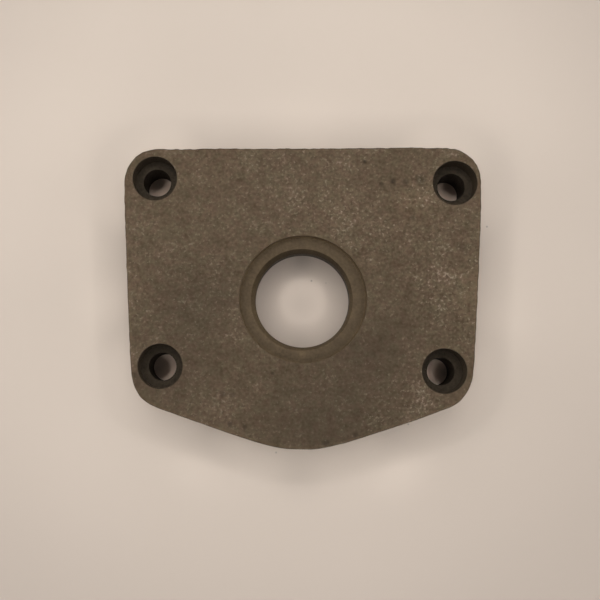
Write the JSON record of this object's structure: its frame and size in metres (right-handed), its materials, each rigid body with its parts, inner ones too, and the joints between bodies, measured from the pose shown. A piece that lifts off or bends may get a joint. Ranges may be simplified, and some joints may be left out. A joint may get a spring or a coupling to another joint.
{
  "type": "gearbox cover plate",
  "caption": "Thick cast iron cover plate with a wide top edge and a pointed lower edge, counterbored corner screw holes and a stepped shaft bore.",
  "frame": {"origin": "on the axis of the stepped bore, at the machined back face that the plate rests and mounts on", "axes": "+Z along the bore axis out of the cast front face, +Y towards the wide edge and -Y towards the pointed edge, +X to the right when the front face is seen with the point down"},
  "size_m": [0.1418, 0.1194, 0.032],
  "materials": {
    "cast_iron": "rough sand-cast skin, machined smoother and browner in the bore, the recess and the counterbores"
  },
  "bodies": {
    "root": {"cover_plate": "cast_iron"}
  },
  "joints": []
}
